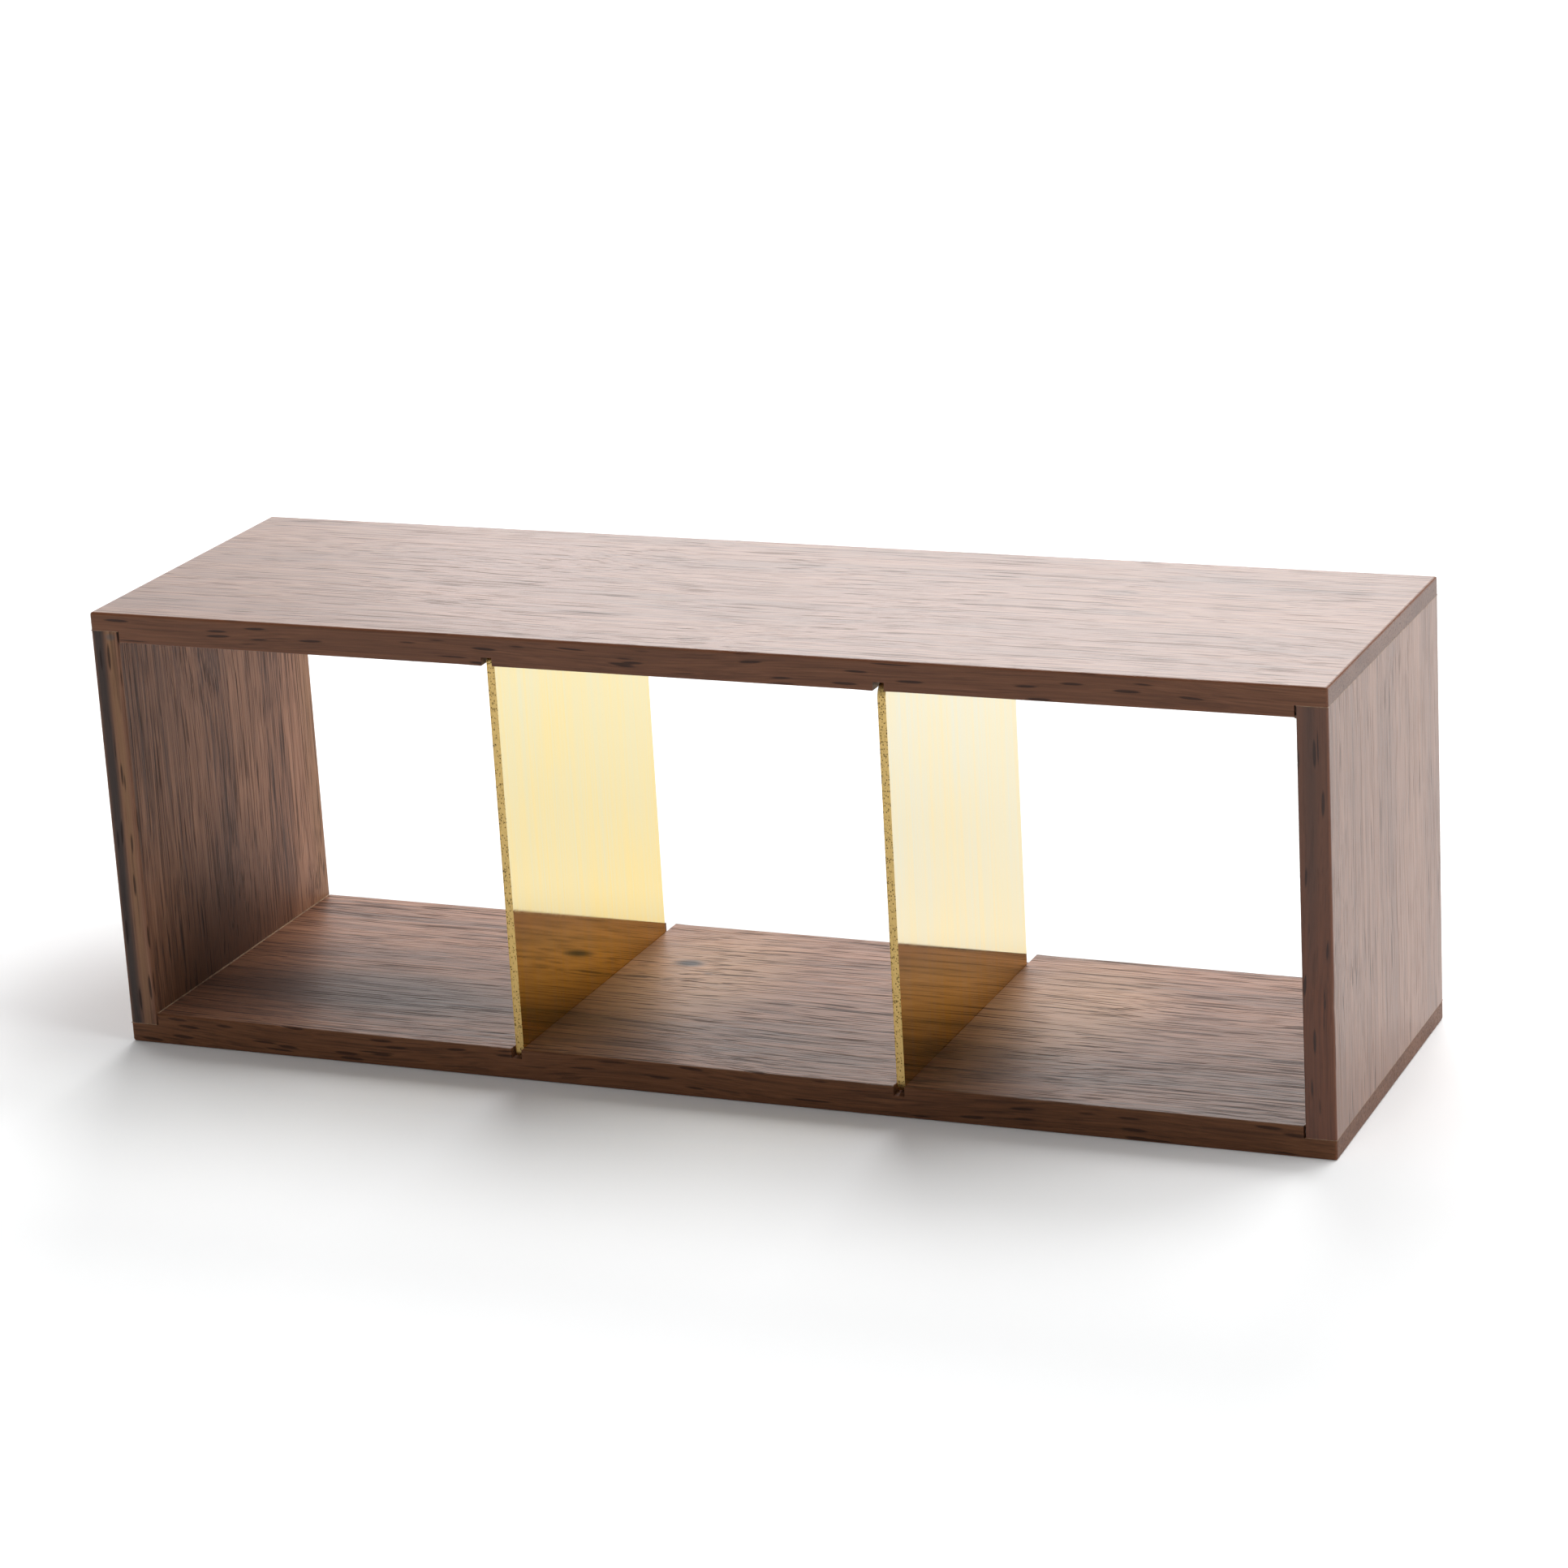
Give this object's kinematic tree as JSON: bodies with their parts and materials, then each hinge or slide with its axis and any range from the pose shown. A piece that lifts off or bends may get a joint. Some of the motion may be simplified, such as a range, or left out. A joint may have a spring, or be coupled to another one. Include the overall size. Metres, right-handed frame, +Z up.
{
  "type": "open divided box frame",
  "caption": "Low open walnut box frame with sliding brass divider plates in saw grooves, for papers and keepsakes on a desk or shelf.",
  "frame": {"origin": "the middle of the flat underside that the box rests on", "axes": "+X along the length to the right side seen from the front, +Y from the front opening to the back opening, +Z up"},
  "size_m": [0.25, 0.075, 0.0895],
  "materials": {
    "walnut": "sanded, thin oil, satin",
    "wood_glue": "dried glue",
    "brass": "brushed up and down, with sheared edges"
  },
  "bodies": {
    "frame": {"bottom_board": "walnut", "top_board": "walnut", "left_side": "walnut", "right_side": "walnut", "glue_bottom_left": "wood_glue", "glue_bottom_right": "wood_glue", "glue_top_left": "wood_glue", "glue_top_right": "wood_glue"},
    "left_divider": {"left_divider": "brass"},
    "right_divider": {"right_divider": "brass"}
  },
  "joints": [
    {"name": "left_divider_slide", "type": "slide", "parent": "frame", "child": "left_divider", "axis": [0, 1, 0], "range_m": [-0.0726, 0.0769]},
    {"name": "right_divider_slide", "type": "slide", "parent": "frame", "child": "right_divider", "axis": [0, 1, 0], "range_m": [-0.0721, 0.0774]}
  ]
}
